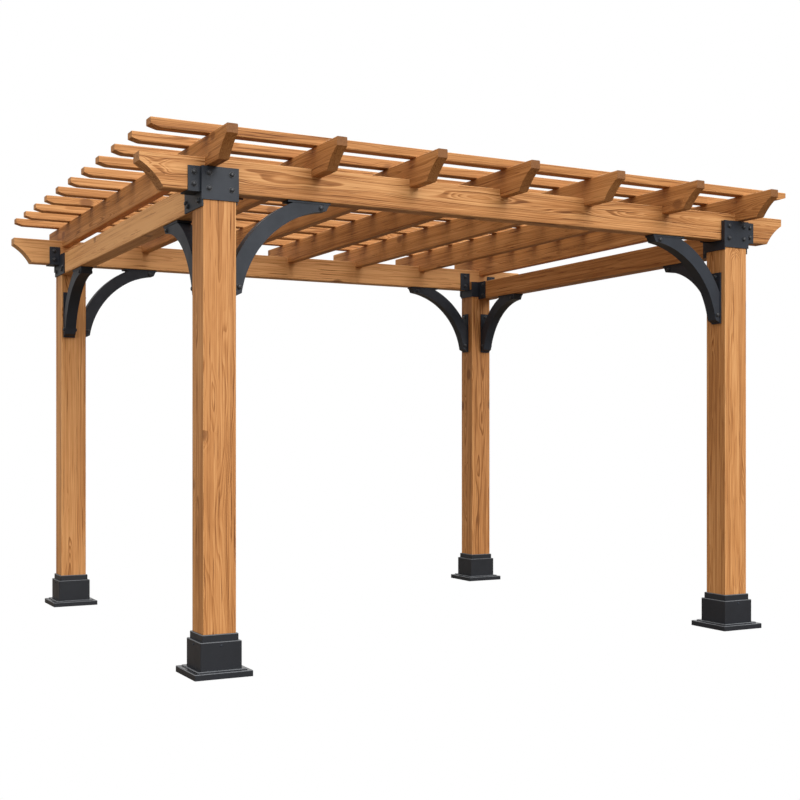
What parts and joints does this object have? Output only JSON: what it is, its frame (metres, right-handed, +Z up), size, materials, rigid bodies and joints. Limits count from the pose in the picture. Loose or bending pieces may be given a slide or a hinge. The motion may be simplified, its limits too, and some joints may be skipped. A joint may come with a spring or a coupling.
{
  "type": "timber pergola",
  "caption": "Free-standing timber pergola: square posts in stepped steel bases, scooped beams and rafters, roof slats, steel post-top connectors and curved knee braces.",
  "frame": {"origin": "on the ground under the middle of the roof", "axes": "+X along the long side, +Y along the short side away from the front, +Z up"},
  "size_m": [3.64, 3.28, 2.378],
  "materials": {
    "timber": "oiled",
    "steel": "matt"
  },
  "bodies": {
    "root": {"front_left_post": "timber", "front_left_base": "steel", "front_left_connector": "steel", "front_left_beam_brace": "steel", "front_left_side_brace": "steel", "front_right_post": "timber", "front_right_base": "steel", "front_right_connector": "steel", "front_right_beam_brace": "steel", "front_right_side_brace": "steel", "rear_left_post": "timber", "rear_left_base": "steel", "rear_left_connector": "steel", "rear_left_beam_brace": "steel", "rear_left_side_brace": "steel", "rear_right_post": "timber", "rear_right_base": "steel", "rear_right_connector": "steel", "rear_right_beam_brace": "steel", "rear_right_side_brace": "steel", "front_beam": "timber", "rear_beam": "timber", "left_side_beam": "timber", "right_side_beam": "timber", "rafter_1": "timber", "rafter_2": "timber", "rafter_3": "timber", "rafter_4": "timber", "rafter_5": "timber", "rafter_6": "timber", "rafter_7": "timber", "slat_1": "timber", "slat_2": "timber", "slat_3": "timber", "slat_4": "timber", "slat_5": "timber", "slat_6": "timber", "slat_7": "timber", "slat_8": "timber", "slat_9": "timber", "slat_10": "timber", "slat_11": "timber"}
  },
  "joints": []
}
